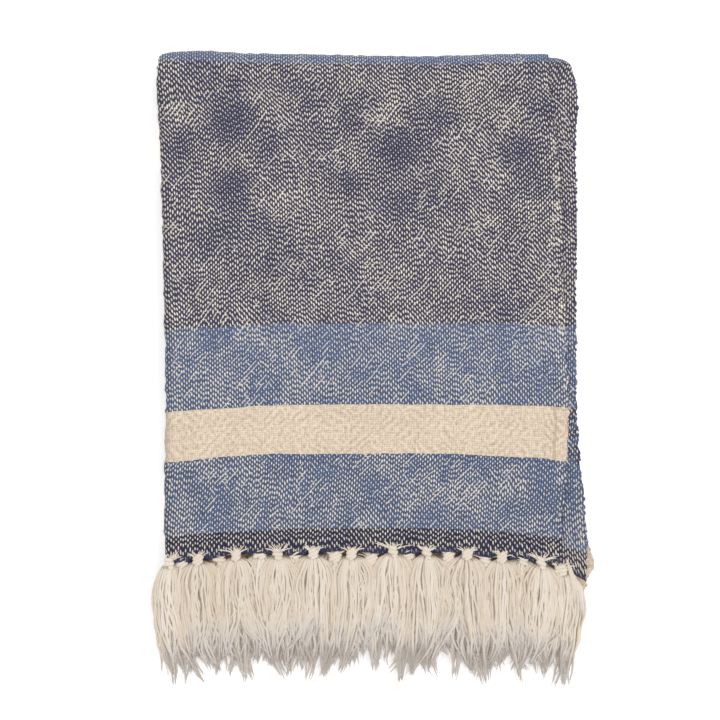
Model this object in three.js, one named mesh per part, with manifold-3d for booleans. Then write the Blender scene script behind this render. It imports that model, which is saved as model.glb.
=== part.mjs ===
import * as THREE from 'three';
import Module from 'manifold-3d';

// A woven cotton throw, folded in four across its width and in four along its length, lying flat.
// Millimetres. X runs across the stack, Y from the knotted ends to the top fold, Z up from the floor.

const { degToRad, lerp, smoothstep } = THREE.MathUtils;

// Cloth and stack
const clothThickness = 1.5;
const plyPitch = 2.4;
const pliesPerPass = 4;
const passPitch = pliesPerPass * plyPitch;
const midLevel = (pliesPerPass - 1) / 2;
const floorDrop = (plyPitch - clothThickness) / 2;

// Where the folds and hems lie along Y
const topFoldY = 255;
const bottomFoldY = -201;
const innerFoldSlack = 4;
const frontHemY = -142;
const backHemY = -146;

// Steps of the mesh along a pass and a fold
const passSteps = 4;
const topFoldSteps = 8;
const smallFoldSteps = 6;

// Fringe
const pieceGap = 0.3;
const stripLength = 5;
const knotLength = 10;
const knotWidth = 9;
const knotThickness = 2.6;
const knotSides = 6;
const rootDepth = 2;
const lockWidth = 3.6;
const lockRootWidth = 1;
const lockTipWidth = 1;
const lockThickness = 1.5;
const lockTipThickness = 1.2;
const tipRowPitch = 1.7;
const fallStartY = -200;
const fallEndY = -221;
const shortTipY = -226;
const longTipY = -247;

// The four plies of the folded width, from the selvedge in front to the selvedge behind it.
// level counts up from the inside of the top fold, face is the side the woven face looks to,
// and the drops say how far each end of the ply hangs below the straight hem line.
// The last ply hangs skewed, so its drop comes late, near its selvedge.
const plies = [
  { level: 3, face: 1, from: 'front', to: 'left', dropFrom: 0, dropTo: 0, dropPower: 1 },
  { level: 0, face: -1, from: 'left', to: 'fold', dropFrom: 0, dropTo: 2, dropPower: 1 },
  { level: 1, face: 1, from: 'fold', to: 'left', dropFrom: 2, dropTo: 1, dropPower: 1 },
  { level: 2, face: -1, from: 'left', to: 'second', dropFrom: 1, dropTo: 10, dropPower: 12 },
];
const plyShares = [0, 0.3, 0.6, 0.82, 0.93, 1];

// The turns between those plies, with radius and centre level in ply pitches.
const turns = [
  { centre: 'left', level: 1.5, radius: 1.5, startDeg: 90, endDeg: 270, face: 1, steps: 5 },
  { centre: 'fold', level: 0.5, radius: 0.5, startDeg: 270, endDeg: 450, face: 1, steps: 4 },
  { centre: 'left', level: 1.5, radius: 0.5, startDeg: 270, endDeg: 90, face: -1, steps: 4 },
];

// Side edges of the stack along the cloth, measured from the front hem: the left folds,
// the two selvedges and the fold between the two lower plies.
const edgeRows = [
  { along: -12, left: -165.2, front: 153, second: 173, fold: 168 },
  { along: 0, left: -165.4, front: 153.2, second: 173, fold: 168 },
  { along: 22, left: -166, front: 153.4, second: 172.8, fold: 167.5 },
  { along: 55, left: -166.2, front: 155.8, second: 171, fold: 167 },
  { along: 82, left: -166, front: 157.2, second: 167.2, fold: 166.5 },
  { along: 112, left: -165.4, front: 158.2, second: 165, fold: 165.5 },
  { along: 175, left: -165.9, front: 156.6, second: 164.5, fold: 164 },
  { along: 255, left: -167.5, front: 153.3, second: 164.4, fold: 163 },
  { along: 320, left: -169.8, front: 150, second: 164, fold: 162.5 },
  { along: 377, left: -172.2, front: 143.8, second: 162.8, fold: 161.5 },
  { along: 389, left: -171.8, front: 143.2, second: 158, fold: 160.8 },
  { along: 401, left: -171.2, front: 142.8, second: 148, fold: 160 },
  { along: 430, left: -169.5, front: 146, second: 157, fold: 161 },
  { along: 640, left: -166, front: 157, second: 164, fold: 164 },
  { along: 815, left: -164, front: 169, second: 168, fold: 167 },
  { along: 884, left: -164, front: 171, second: 167.4, fold: 168 },
  { along: 899, left: -164, front: 175, second: 167.2, fold: 168 },
  { along: 914, left: -164, front: 180.5, second: 167, fold: 168 },
  { along: 927, left: -164.2, front: 178.5, second: 166.8, fold: 167.8 },
  { along: 940, left: -164.4, front: 174, second: 166.5, fold: 167.5 },
  { along: 965, left: -164.8, front: 168, second: 166, fold: 167 },
  { along: 1090, left: -166.5, front: 160, second: 163, fold: 163 },
  { along: 1290, left: -169, front: 150, second: 160, fold: 161 },
  { along: 1690, left: -163, front: 160, second: 166, fold: 165 },
];

// How far the weft lines sag towards each side edge, by their place on the front.
const sagRows = [
  { y: -260, left: 8, right: 9 },
  { y: -142, left: 8, right: 9.5 },
  { y: -66, left: 7.2, right: 6.4 },
  { y: -26, left: 7, right: 4 },
  { y: 38, left: 5.6, right: 1.8 },
  { y: 160, left: 2, right: 0 },
  { y: 255, left: -3.3, right: -3.4 },
];
const sagCentreX = -4;
const sagHalfWidth = 162;
const sagPower = 2.6;

// Soft unevenness of the stack's height
const heightWave = 0.02;
const waveLengthX = 420;
const waveLengthY = 380;

// The rows of tassels, one for each ply at each end, and one tassel more at the left corner.
// row counts up from the floor, firstX and pitch place the tassels, lean moves their tips sideways.
// A row that lies under the others has one lock a tassel, rooted straight in its strip.
const fringeRows = [
  { end: 'front', ply: 0, row: 7, tassels: 10, firstX: -139.6, pitch: 30.9, lean: 0, locks: 6 },
  { end: 'front', ply: 0, row: 7, tassels: 1, firstX: -158.5, pitch: 17, lean: -9, locks: 3 },
  { end: 'front', ply: 3, row: 6, tassels: 10, firstX: -124.1, pitch: 30.9, lean: 0, locks: 5 },
  { end: 'front', ply: 2, row: 5, tassels: 10, firstX: -139.6, pitch: 30.9, lean: 0, locks: 1 },
  { end: 'front', ply: 1, row: 4, tassels: 10, firstX: -124.1, pitch: 30.9, lean: 0, locks: 1 },
  { end: 'back', ply: 1, row: 3, tassels: 10, firstX: -139.6, pitch: 30.9, lean: 0, locks: 1 },
  { end: 'back', ply: 2, row: 2, tassels: 10, firstX: -124.1, pitch: 30.9, lean: 0, locks: 1 },
  { end: 'back', ply: 3, row: 1, tassels: 10, firstX: -139.6, pitch: 30.9, lean: 0, locks: 1 },
  { end: 'back', ply: 0, row: 0, tassels: 10, firstX: -126, pitch: 30.9, lean: 0, locks: 1 },
];

function readTable(rows, key, at, column) {
  const next = rows.findIndex((row) => row[key] >= at);
  if (next === 0) {
    return rows[0][column];
  }
  if (next < 0) {
    return rows.at(-1)[column];
  }
  const before = rows[next - 1];
  const after = rows[next];
  const share = (at - before[key]) / (after[key] - before[key]);
  return lerp(before[column], after[column], share);
}

function jitter(seed) {
  const wave = Math.sin(seed * 12.9898) * 43758.5453;
  return (wave - Math.floor(wave)) * 2 - 1;
}

// Lets the straight stack sag and swell a little. The floor plane stays where it is.
function settle(x, y, z) {
  const reach = (x - sagCentreX) / sagHalfWidth;
  const side = reach < 0 ? 'left' : 'right';
  const sag = readTable(sagRows, 'y', y, side) * Math.abs(reach) ** sagPower;
  const wave = Math.sin((x / waveLengthX) * Math.PI * 2 + 0.6) * Math.cos((y / waveLengthY) * Math.PI * 2);
  return new THREE.Vector3(x, y - sag, z * (1 + heightWave * wave));
}

function passHeight(pass) {
  return (pass + 0.5) * passPitch - floorDrop;
}

// The run of the stack in the YZ plane: front pass, top fold, lowest pass, bottom fold,
// third pass, inner top fold and the pass that carries the other end.
function foldStations() {
  const outerReach = midLevel * plyPitch + clothThickness / 2;
  const topRadius = 1.5 * passPitch;
  const smallRadius = 0.5 * passPitch;
  const topY = topFoldY - topRadius - outerReach;
  const bottomY = bottomFoldY + smallRadius + outerReach;
  const innerY = topY - innerFoldSlack;
  const stations = [];
  let along = 0;

  const addPass = (fromY, toY, pass, turn) => {
    const length = Math.abs(toY - fromY);
    for (const share of passShares(along, length)) {
      stations.push({ along: along + length * share, y: lerp(fromY, toY, share), z: passHeight(pass), turn });
    }
    along += length;
  };
  const addFold = (centreY, centreZ, radius, sideY, riseZ, startTurn, turnSign, steps) => {
    for (let i = 1; i < steps; i += 1) {
      const angle = (Math.PI * i) / steps;
      stations.push({
        along: along + radius * angle,
        y: centreY + sideY * radius * Math.sin(angle),
        z: centreZ + riseZ * radius * Math.cos(angle),
        turn: startTurn + turnSign * angle,
      });
    }
    along += radius * Math.PI;
  };

  addPass(frontHemY, topY, 3, 0);
  addFold(topY, 2 * passPitch - floorDrop, topRadius, 1, 1, 0, -1, topFoldSteps);
  addPass(topY, bottomY, 0, -Math.PI);
  addFold(bottomY, passPitch - floorDrop, smallRadius, -1, -1, -Math.PI, -1, smallFoldSteps);
  addPass(bottomY, innerY, 1, 0);
  addFold(innerY, 2 * passPitch - floorDrop, smallRadius, 1, -1, 0, 1, smallFoldSteps);
  addPass(innerY, backHemY, 2, Math.PI);
  return stations;
}

// Where the mesh steps along a pass: evenly, and wherever its edges bend
function passShares(start, length) {
  const even = Array.from({ length: passSteps + 1 }, (_, i) => i / passSteps);
  const bends = edgeRows.map((row) => (row.along - start) / length);
  const inside = bends.filter((bend) => even.every((share) => Math.abs(bend - share) * length > 5));
  return [...even, ...inside.filter((bend) => bend > 0 && bend < 1)].sort((a, b) => a - b);
}

// How much of the uneven hem shows at a place on the front pass
function hemShare(along) {
  return 1 - smoothstep(along, 0, 110);
}

function hemDrop(ply, share) {
  return lerp(ply.dropFrom, ply.dropTo, share ** ply.dropPower);
}

function edgesAt(along) {
  const read = (column) => readTable(edgeRows, 'along', along, column);
  const left = read('left') + turns[0].radius * plyPitch + clothThickness / 2;
  const fold = read('fold') - turns[1].radius * plyPitch - clothThickness / 2;
  return { left, fold, front: read('front'), second: read('second') };
}

// Points along the folded width, with the direction of the woven face at each.
function sectionColumns(along) {
  const edges = edgesAt(along);
  const columns = [];
  plies.forEach((ply, index) => {
    for (const share of plyShares) {
      columns.push({
        x: lerp(edges[ply.from], edges[ply.to], share),
        level: ply.level,
        faceX: 0,
        faceLevel: ply.face,
        drop: hemDrop(ply, share),
      });
    }
    const turn = turns[index];
    for (let i = 1; turn && i < turn.steps; i += 1) {
      const angle = degToRad(lerp(turn.startDeg, turn.endDeg, i / turn.steps));
      columns.push({
        x: edges[turn.centre] + turn.radius * plyPitch * Math.cos(angle),
        level: turn.level + turn.radius * Math.sin(angle),
        faceX: turn.face * Math.cos(angle),
        faceLevel: turn.face * Math.sin(angle),
        drop: ply.dropTo,
      });
    }
  });
  return columns;
}

function stackPoint(station, x, height, drop) {
  const y = station.y - Math.sin(station.turn) * height;
  const z = station.z + Math.cos(station.turn) * height;
  return settle(x, y - drop * hemShare(station.along), z);
}

// One ring of the sheet at a station: its face from selvedge to selvedge, then its back the other way.
function sheetRing(station) {
  const columns = sectionColumns(station.along);
  const side = (half) => columns.map((column) => {
    const height = (column.level - midLevel) * plyPitch + column.faceLevel * half;
    return stackPoint(station, column.x + column.faceX * half, height, column.drop);
  });
  return [...side(clothThickness / 2), ...side(-clothThickness / 2).reverse()];
}

// A closed solid through rings of equal count, its ends zipped shut across each ring.
function loftRings(rings) {
  const count = rings[0].length;
  const positions = rings.flat().flatMap((point) => [point.x, point.y, point.z]);
  const indices = [];
  for (let ring = 0; ring + 1 < rings.length; ring += 1) {
    for (let i = 0; i < count; i += 1) {
      const a = ring * count + i;
      const b = ring * count + ((i + 1) % count);
      indices.push(a, b, b + count, a, b + count, a + count);
    }
  }
  const last = (rings.length - 1) * count;
  for (let a = 0, d = count - 1; a + 1 < d; a += 1, d -= 1) {
    const b = a + 1;
    const c = d - 1;
    indices.push(a, d, b, last + a, last + b, last + d);
    if (b < c) {
      indices.push(b, d, c, last + b, last + c, last + d);
    }
  }
  const geometry = new THREE.BufferGeometry();
  geometry.setAttribute('position', new THREE.Float32BufferAttribute(positions, 3));
  geometry.setIndex(indices);
  if (signedVolume(geometry) < 0) {
    geometry.setIndex(indices.reverse());
  }
  return geometry;
}

function signedVolume(geometry) {
  const { array } = geometry.getAttribute('position');
  const corner = (i) => new THREE.Vector3().fromArray(array, geometry.index.array[i] * 3);
  let volume = 0;
  for (let i = 0; i < geometry.index.count; i += 3) {
    volume += corner(i).dot(corner(i + 1).cross(corner(i + 2)));
  }
  return volume;
}

const wasm = await Module();
wasm.setup();

function toSolid(geometry) {
  const vertProperties = geometry.getAttribute('position').array;
  const triVerts = new Uint32Array(geometry.index.array);
  return new wasm.Manifold(new wasm.Mesh({ numProp: 3, vertProperties, triVerts }));
}

function toGeometry(solid) {
  const mesh = solid.getMesh();
  const geometry = new THREE.BufferGeometry();
  geometry.setAttribute('position', new THREE.Float32BufferAttribute(mesh.vertProperties, 3));
  geometry.setIndex([...mesh.triVerts]);
  return geometry;
}

// The ends of the cloth that the two fringes hang from
const fringeEnds = {
  front: { hemY: frontHemY, pass: 3, turn: 0, along: 0, into: -1 },
  back: { hemY: backHemY, pass: 2, turn: Math.PI, along: edgeRows.at(-1).along, into: 0 },
};

function endStation(end, beyond) {
  return {
    along: end.along + end.into * beyond,
    y: end.hemY - beyond,
    z: passHeight(end.pass),
    turn: end.turn,
  };
}

// Narrow woven strip under the knots, parted from the cloth by a hair
function hemStrip(end) {
  const rings = [pieceGap, pieceGap + stripLength].map((beyond) => sheetRing(endStation(end, beyond)));
  return loftRings(rings);
}

// Where a tassel's knot leaves its strip
function knotRoot(end, ply, x) {
  const station = endStation(end, pieceGap + stripLength);
  const edges = edgesAt(station.along);
  const share = (x - edges[ply.from]) / (edges[ply.to] - edges[ply.from]);
  const height = (ply.level - midLevel) * plyPitch * Math.cos(station.turn);
  return { x, y: station.y - hemDrop(ply, share) * hemShare(station.along), z: station.z + height };
}

// A flattened knot whose lower end opens to the width of its locks
function knot(root) {
  const profile = [
    { beyond: -rootDepth, width: 0.4, thickness: 0.3 },
    { beyond: knotLength * 0.45, width: 1, thickness: 1 },
    { beyond: knotLength, width: 1, thickness: 0.6 },
  ];
  const rings = profile.map((ring) => Array.from({ length: knotSides }, (_, i) => {
    const angle = (Math.PI * 2 * i) / knotSides;
    const x = root.x + (knotWidth / 2) * ring.width * Math.cos(angle);
    const z = root.z + (knotThickness / 2) * ring.thickness * Math.sin(angle);
    return settle(x, root.y - ring.beyond, z);
  }));
  return loftRings(rings);
}

// A three-sided lock with a flat underside: level from its root, over the bottom fold, down to the floor.
function lock(root, row, lane, seed) {
  const rootY = root.y + rootDepth - (row.locks > 1 ? knotLength : 0);
  const tipY = lerp(shortTipY, longTipY, 0.5 + 0.5 * jitter(seed));
  const rootX = root.x + lane * ((knotWidth - 2) / row.locks);
  const tipX = root.x + row.lean + lane * (row.pitch / row.locks) + jitter(seed + 0.37) * 0.5;
  const stops = [
    { y: rootY, width: lockRootWidth, thickness: lockRootWidth, spread: 0, fall: 0 },
    { y: fallStartY, width: lockWidth, thickness: lockThickness, spread: 0.8, fall: 0 },
    { y: fallEndY, width: lockWidth, thickness: lockTipThickness, spread: 0.95, fall: 1 },
    { y: tipY, width: lockTipWidth, thickness: lockTipThickness, spread: 1, fall: 1 },
  ];
  const rings = stops.map((stop) => {
    const base = lerp(root.z - stop.thickness / 2, row.row * tipRowPitch, stop.fall);
    const x = lerp(rootX, tipX, stop.spread);
    return [
      settle(x - stop.width / 2, stop.y, base),
      settle(x + stop.width / 2, stop.y, base),
      settle(x, stop.y, base + stop.thickness),
    ];
  });
  return loftRings(rings);
}

function fringe(endName) {
  const end = fringeEnds[endName];
  let solid = toSolid(hemStrip(end));
  for (const row of fringeRows.filter((entry) => entry.end === endName)) {
    for (let i = 0; i < row.tassels; i += 1) {
      const root = knotRoot(end, plies[row.ply], row.firstX + row.pitch * i);
      if (row.locks > 1) {
        solid = solid.add(toSolid(knot(root)));
      }
      for (let j = 0; j < row.locks; j += 1) {
        const lane = j - (row.locks - 1) / 2;
        solid = solid.add(toSolid(lock(root, row, lane, row.row * 100 + i * 7 + j)));
      }
    }
  }
  return toGeometry(solid);
}

const navyCotton = new THREE.MeshStandardMaterial({ color: 0x5f6780, roughness: 0.95, metalness: 0 });
const creamCotton = new THREE.MeshStandardMaterial({ color: 0xe4dac8, roughness: 0.95, metalness: 0 });

const throwCloth = new THREE.Mesh(loftRings(foldStations().map(sheetRing)), navyCotton);
throwCloth.name = 'throw_cloth';

const frontFringe = new THREE.Mesh(fringe('front'), creamCotton);
frontFringe.name = 'front_fringe';

const backFringe = new THREE.Mesh(fringe('back'), creamCotton.clone());
backFringe.name = 'back_fringe';

// The origin is on the floor under the middle of the whole throw.
const foldedThrow = new THREE.Group();
foldedThrow.add(throwCloth, frontFringe, backFringe);
const middle = new THREE.Box3().setFromObject(foldedThrow).getCenter(new THREE.Vector3());
foldedThrow.position.set(-middle.x, -middle.y, 0);

export default foldedThrow;
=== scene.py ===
import math

import bpy
import numpy as np
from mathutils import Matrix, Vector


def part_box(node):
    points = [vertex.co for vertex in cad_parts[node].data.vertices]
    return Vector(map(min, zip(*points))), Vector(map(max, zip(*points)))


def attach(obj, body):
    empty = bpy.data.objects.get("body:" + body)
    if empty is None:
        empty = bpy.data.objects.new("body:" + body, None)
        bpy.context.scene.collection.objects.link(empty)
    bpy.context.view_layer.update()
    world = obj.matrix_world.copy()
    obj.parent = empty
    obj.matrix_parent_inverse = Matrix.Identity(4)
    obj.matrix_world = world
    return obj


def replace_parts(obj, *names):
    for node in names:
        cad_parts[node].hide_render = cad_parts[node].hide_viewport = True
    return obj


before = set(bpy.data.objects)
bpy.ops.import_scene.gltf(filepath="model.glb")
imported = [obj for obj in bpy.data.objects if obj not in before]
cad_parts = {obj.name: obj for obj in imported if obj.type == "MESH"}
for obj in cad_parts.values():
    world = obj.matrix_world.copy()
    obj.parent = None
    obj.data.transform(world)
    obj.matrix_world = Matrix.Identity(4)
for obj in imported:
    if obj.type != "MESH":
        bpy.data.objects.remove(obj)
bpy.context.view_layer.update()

mm = 0.001
mergeDistance = 1e-7
draw = np.random.default_rng(41)
bpy.ops.object.select_all(action="DESELECT")
print("frame loaded, nodes:", ", ".join(sorted(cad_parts)))


# Stack sizes in millimetres, measured from the middle of the photo's throw
stack = {
    "thickness": 1.5,
    "plyPitch": 2.4,
    "topFoldY": 255,
    "bottomFoldY": -201,
    "innerSlack": 4,
    "frontHemY": -142,
    "backHemY": -146,
    "frontRows": 94,
    "passRows": 16,
    "thirdRows": 56,
    "topFoldRows": 18,
    "smallFoldRows": 12,
    "dropReach": 110,
}
passPitch = 4 * stack["plyPitch"]
midLevel = 1.5
floorDrop = (stack["plyPitch"] - stack["thickness"]) / 2

# the four plies from the front selvedge to the second one
# drop: how much lower the hem lies at the ply's start and end, and the power of the curve between
plies = [
    {"level": 3, "face": 1, "start": "front", "end": "left", "drop": (0, 0, 1), "steps": 90, "crowd": 1},
    {"level": 0, "face": -1, "start": "left", "end": "fold", "drop": (0, 2, 1), "steps": 14, "crowd": 1},
    {"level": 1, "face": 1, "start": "fold", "end": "left", "drop": (2, 1, 1), "steps": 14, "crowd": 1},
    {"level": 2, "face": -1, "start": "left", "end": "second", "drop": (1, 10, 12), "steps": 44, "crowd": 2},
]

# the turns between them, in degrees; level and radius count in plies
turns = [
    {"centre": "left", "level": 1.5, "radius": 1.5, "start": 90, "end": 270, "face": 1, "steps": 10},
    {"centre": "fold", "level": 0.5, "radius": 0.5, "start": 270, "end": 450, "face": 1, "steps": 8},
    {"centre": "left", "level": 1.5, "radius": 0.5, "start": 270, "end": 90, "face": -1, "steps": 8},
]

# side edges of the stack along the cloth, from the front hem on
edgeKeys = ("along", "left", "front", "second", "fold")
edgeRows = [dict(zip(edgeKeys, row)) for row in (
    (-12, -165.2, 153, 173, 168),
    (0, -165.4, 153.2, 173, 168),
    (22, -166, 153.4, 172.8, 167.5),
    (55, -166.2, 155.8, 171, 167),
    (82, -166, 157.2, 167.2, 166.5),
    (112, -165.4, 158.2, 165, 165.5),
    (175, -165.9, 156.6, 164.5, 164),
    (255, -167.5, 153.3, 164.4, 163),
    (320, -169.8, 150, 164, 162.5),
    (377, -172.2, 143.8, 162.8, 161.5),
    (389, -171.8, 143.2, 158, 160.8),
    (401, -171.2, 142.8, 148, 160),
    (430, -169.5, 146, 157, 161),
    (640, -166, 157, 164, 164),
    (815, -164, 169, 168, 167),
    (884, -164, 171, 167.4, 168),
    (899, -164, 175, 167.2, 168),
    (914, -164, 180.5, 167, 168),
    (927, -164.2, 178.5, 166.8, 167.8),
    (940, -164.4, 174, 166.5, 167.5),
    (965, -164.8, 168, 166, 167),
    (1090, -166.5, 160, 163, 163),
    (1290, -169, 150, 160, 161),
    (1690, -163, 160, 166, 165),
)]

# how far the weft lines sag towards each side edge
sagRows = [
    {"y": -260, "left": 8, "right": 9},
    {"y": -142, "left": 8, "right": 9.5},
    {"y": -66, "left": 7.2, "right": 6.4},
    {"y": -26, "left": 7, "right": 4},
    {"y": 38, "left": 5.6, "right": 1.8},
    {"y": 160, "left": 2, "right": 0},
    {"y": 255, "left": -3.3, "right": -3.4},
]
sag = {"centreX": -4, "halfWidth": 162, "power": 2.6}
swell = {"share": 0.02, "waveX": 420, "waveY": 380}

# rows of tassels: row counts up from the floor, lean bows the tassels sideways, yarns are for each lock
fullRow = {"tassels": 10, "pitch": 30.9, "lean": 0}
upperExtra = {"tassels": 1, "pitch": 15, "lean": -3}
lowerExtra = {"tassels": 1, "pitch": 28, "lean": 0}
fringeRows = [
    {"end": "front", "ply": 0, "row": 7, "firstX": -139.6, "locks": 4, "yarns": 18, **fullRow},
    {"end": "front", "ply": 0, "row": 7, "firstX": -161.5, "locks": 3, "yarns": 13, **upperExtra},
    {"end": "front", "ply": 3, "row": 6, "firstX": -124.1, "locks": 4, "yarns": 16, **fullRow},
    {"end": "front", "ply": 3, "row": 6, "firstX": -152, "locks": 3, "yarns": 14, **lowerExtra},
    {"end": "front", "ply": 2, "row": 5, "firstX": -139.6, "locks": 5, "yarns": 5, **fullRow},
    {"end": "front", "ply": 1, "row": 4, "firstX": -124.1, "locks": 4, "yarns": 5, **fullRow},
    {"end": "back", "ply": 1, "row": 3, "firstX": -139.6, "locks": 3, "yarns": 4, **fullRow},
    {"end": "back", "ply": 2, "row": 2, "firstX": -124.1, "locks": 3, "yarns": 4, **fullRow},
    {"end": "back", "ply": 3, "row": 1, "firstX": -139.6, "locks": 3, "yarns": 4, **fullRow},
    {"end": "back", "ply": 0, "row": 0, "firstX": -126, "locks": 3, "yarns": 4, **fullRow},
]

# loose ends along the skewed hem of the lower right corner: first and last root, how far they run and fall
looseEnds = {
    "first": (157, -141),
    "last": (168, -162),
    "run": 4,
    "fall": 14,
    "tips": (-194, -187, -178),
    "count": 26,
}

# how far each tassel of the two upper rows sits from the even pitch, by row and from the left
nudges = {
    7: [0.6, 0, 2.4, 0.8, 0.8, 2.4, -1.1, 0.3, -2.4, -0.5],
    6: [2.5, 4.2, 1, 3, 0.6, -1.2, 1.5, -0.8, -2.4, -1.4],
}


def tasselPlaces(row):
    places = row["firstX"] + row["pitch"] * np.arange(row["tassels"])
    if row["tassels"] == len(nudges.get(row["row"], ())):
        places = places + nudges[row["row"]]
    return places


def smoothTable(rows, key, column, at):
    # a soft curve through the table's rows
    keys = np.array([row[key] for row in rows], float)
    values = np.array([row[column] for row in rows], float)
    slopes = np.gradient(values, keys)
    at = np.clip(np.asarray(at, float), keys[0], keys[-1])
    low = np.clip(np.searchsorted(keys, at, side="right") - 1, 0, len(keys) - 2)
    gap = keys[low + 1] - keys[low]
    t = (at - keys[low]) / gap
    rise = t * t * (3 - 2 * t)
    leave = t * (1 - t) ** 2 * gap * slopes[low]
    arrive = t * t * (t - 1) * gap * slopes[low + 1]
    return values[low] * (1 - rise) + values[low + 1] * rise + leave + arrive


def softStep(at, low, high):
    t = np.clip((np.asarray(at, float) - low) / (high - low), 0, 1)
    return t * t * (3 - 2 * t)


def settle(x, y, z):
    # sags the weft lines and swells the height a little; the floor plane stays put
    reach = (x - sag["centreX"]) / sag["halfWidth"]
    side = np.where(reach < 0, smoothTable(sagRows, "y", "left", y), smoothTable(sagRows, "y", "right", y))
    wave = np.sin(x / swell["waveX"] * math.tau + 0.6) * np.cos(y / swell["waveY"] * math.tau)
    return np.stack([x, y - side * np.abs(reach) ** sag["power"], z * (1 + swell["share"] * wave)], -1)


def passHeight(level):
    return (level + 0.5) * passPitch - floorDrop


def foldStations():
    # front pass, top fold, lowest pass, bottom fold, third pass, inner fold, back pass
    outer = midLevel * stack["plyPitch"] + stack["thickness"] / 2
    topRadius = 1.5 * passPitch
    smallRadius = 0.5 * passPitch
    topY = stack["topFoldY"] - topRadius - outer
    bottomY = stack["bottomFoldY"] + smallRadius + outer
    innerY = topY - stack["innerSlack"]
    stations = []
    along = 0

    def addPass(fromY, toY, level, turn, steps):
        nonlocal along
        for share in np.linspace(0, 1, steps + 1):
            y = fromY + (toY - fromY) * share
            stations.append((along + abs(toY - fromY) * share, y, passHeight(level), turn))
        along += abs(toY - fromY)

    def addFold(centreY, centreZ, radius, sideY, riseZ, turn, sign, steps):
        nonlocal along
        for angle in np.linspace(0, math.pi, steps + 1)[1:-1]:
            y = centreY + sideY * radius * math.sin(angle)
            z = centreZ + riseZ * radius * math.cos(angle)
            stations.append((along + radius * angle, y, z, turn + sign * angle))
        along += radius * math.pi

    middleZ = 2 * passPitch - floorDrop
    addPass(stack["frontHemY"], topY, 3, 0, stack["frontRows"])
    addFold(topY, middleZ, topRadius, 1, 1, 0, -1, stack["topFoldRows"])
    addPass(topY, bottomY, 0, -math.pi, stack["passRows"])
    addFold(bottomY, passPitch - floorDrop, smallRadius, -1, -1, -math.pi, -1, stack["smallFoldRows"])
    addPass(bottomY, innerY, 1, -math.tau, stack["thirdRows"])
    addFold(innerY, middleZ, smallRadius, 1, -1, -math.tau, 1, stack["smallFoldRows"])
    addPass(innerY, stack["backHemY"], 2, -math.pi, stack["passRows"])
    return np.array(stations).T


def edgesAt(along):
    half = stack["thickness"] / 2
    names = ("left", "front", "second", "fold")
    found = {name: smoothTable(edgeRows, "along", name, along) for name in names}
    found["left"] = found["left"] + turns[0]["radius"] * stack["plyPitch"] + half
    found["fold"] = found["fold"] - turns[1]["radius"] * stack["plyPitch"] - half
    return found


def hemShare(along):
    return 1 - softStep(along, 0, stack["dropReach"])


def hemDrop(ply, share):
    start, end, power = ply["drop"]
    return start + (end - start) * share ** power


def sectionColumns(along):
    # points across the folded width for every station: place, level, face direction, hem drop, ply
    edges = edgesAt(along)
    columns = []
    for index, ply in enumerate(plies):
        for t in np.linspace(0, 1, ply["steps"] + 1):
            share = 1 - (1 - t) ** ply["crowd"]
            x = edges[ply["start"]] + (edges[ply["end"]] - edges[ply["start"]]) * share
            columns.append((x, ply["level"], 0, ply["face"], hemDrop(ply, share), index))
        if index == len(turns):
            break
        turn = turns[index]
        for share in np.linspace(0, 1, turn["steps"] + 1)[1:-1]:
            angle = math.radians(turn["start"] + (turn["end"] - turn["start"]) * share)
            x = edges[turn["centre"]] + turn["radius"] * stack["plyPitch"] * math.cos(angle)
            level = turn["level"] + turn["radius"] * math.sin(angle)
            faceX = turn["face"] * math.cos(angle)
            columns.append((x, level, faceX, turn["face"] * math.sin(angle), hemDrop(ply, 1), index + 0.5))
    return columns


def newMesh(name, verts, faces, uvs, marks):
    mesh = bpy.data.meshes.new(name)
    mesh.from_pydata(verts, [], faces)
    layer = mesh.uv_layers.new(name="weave")
    layer.data.foreach_set("uv", np.asarray(uvs, np.float32).ravel())
    for key, values in marks.items():
        mesh.attributes.new(key, "FLOAT", "POINT").data.foreach_set("value", np.asarray(values, np.float32))
    mesh.update()
    piece = bpy.data.objects.new(name, mesh)
    bpy.context.collection.objects.link(piece)
    return piece


def mergeAndSmooth(piece):
    # closes the pinched ends and turns every face outwards
    bpy.ops.object.select_all(action="DESELECT")
    bpy.context.view_layer.objects.active = piece
    piece.select_set(True)
    bpy.ops.object.mode_set(mode="EDIT")
    bpy.ops.mesh.select_all(action="SELECT")
    bpy.ops.mesh.remove_doubles(threshold=mergeDistance)
    bpy.ops.mesh.normals_make_consistent(inside=False)
    bpy.ops.object.mode_set(mode="OBJECT")
    bpy.ops.object.shade_smooth()
    piece.select_set(False)


# Camera straight above, on the photo's scale of millimetres a pixel
cameraSet = {
    "pixel": 0.8025,
    "frame": 720,
    "sensor": 36,
    "centreX": -8.8,
    "centreY": 8.8,
    "topZ": 38,
    "distance": 1900,
}

bpy.ops.object.camera_add(rotation=(0, 0, 0))
camera = bpy.context.object
camera.data.sensor_width = cameraSet["sensor"]
camera.data.lens = cameraSet["sensor"] * cameraSet["distance"] / (cameraSet["pixel"] * cameraSet["frame"])
camera.data.clip_end = 20
bpy.context.scene.camera = camera


# Cloth: one sheet with a face and a back, folded on the stack's lines
clothSet = {
    "rippleHeight": 0.45,
    "rippleX": (37, 83),
    "rippleY": (47, 61),
    "curlHeight": 0.6,
    "curlReach": 16,
    "liftFrom": (4, 40),
    "liftUntil": (370, 60),
    "scallop": 4.6,
    "scallopReach": 9,
    "hemLow": 1.0,
    "underHem": 5,
    "backHemReach": 40,
    "edgeWobble": 0.9,
    "plainHem": 3.5,
    "carriedStrip": (8, 12),
    "foldShadeStrip": (-4.5, 3.5),
    "patchRange": (-0.7, 1),
    "rimPaintedShade": 0.3,
    "rimFrom": (380, 392),
    "rimUntil": (420, 440),
    "crestFuzz": 0.3,
}

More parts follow.
